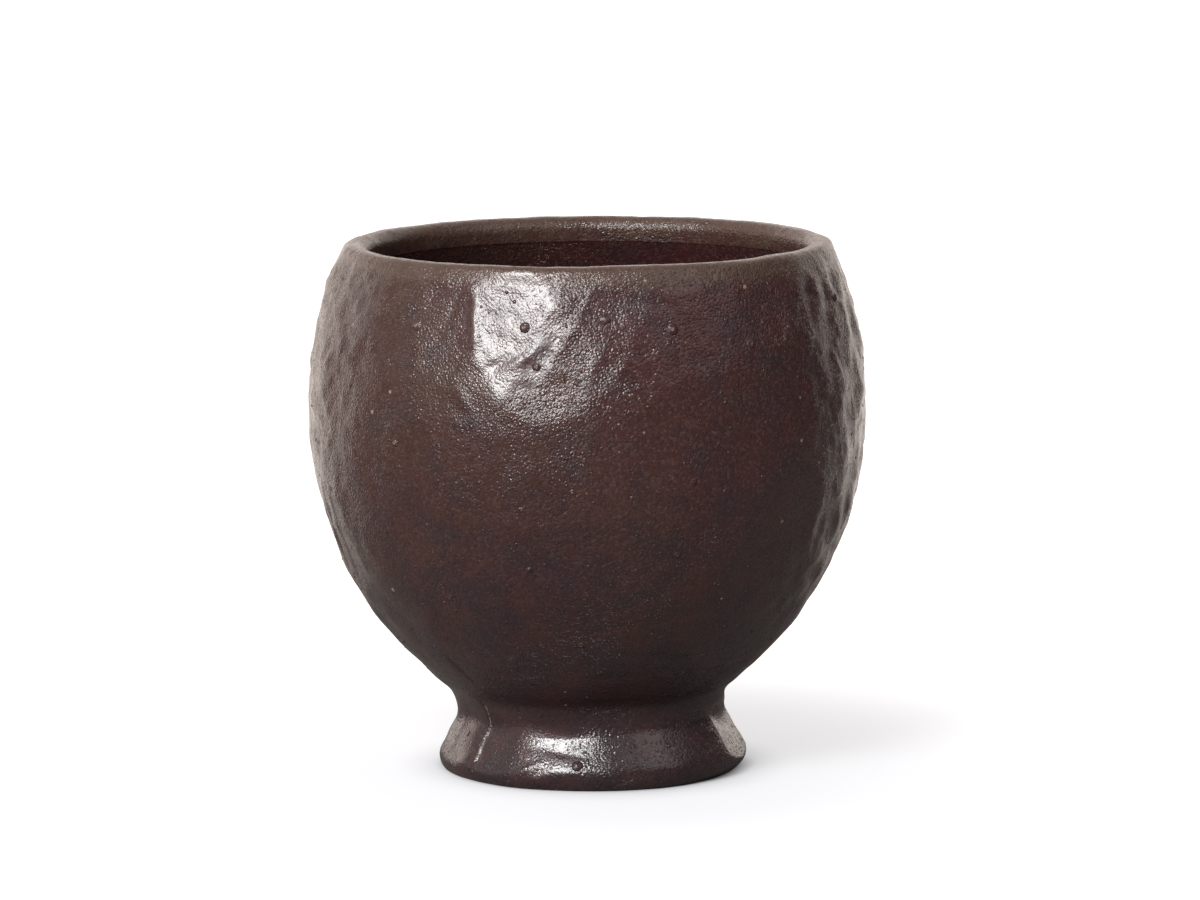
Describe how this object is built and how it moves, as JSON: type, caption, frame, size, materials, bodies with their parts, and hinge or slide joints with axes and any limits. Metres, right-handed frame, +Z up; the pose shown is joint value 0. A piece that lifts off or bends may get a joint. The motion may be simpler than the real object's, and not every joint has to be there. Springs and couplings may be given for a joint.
{
  "type": "kantharos cup",
  "caption": "Handleless hand-built stoneware cup: a round bowl drawn in to a coiled lip, standing on a short flared hollow foot, under dark brown glaze.",
  "frame": {"origin": "on the bowl's axis, in the plane of the foot's standing ring", "axes": "+Z up out of the mouth, the cup's upright axis; the front of the cup faces -Y"},
  "size_m": [0.0997, 0.1, 0.0949],
  "materials": {
    "dark_glaze": "dark red-brown glaze over sandy stoneware, semi-gloss, with an orange-peel texture",
    "bare_stoneware": "unglazed fired clay, wiped clean of glaze on the standing ring"
  },
  "bodies": {
    "root": {"bowl": "dark_glaze", "lip_coil": "dark_glaze", "foot": "dark_glaze", "joining_coil": "dark_glaze"}
  },
  "joints": []
}
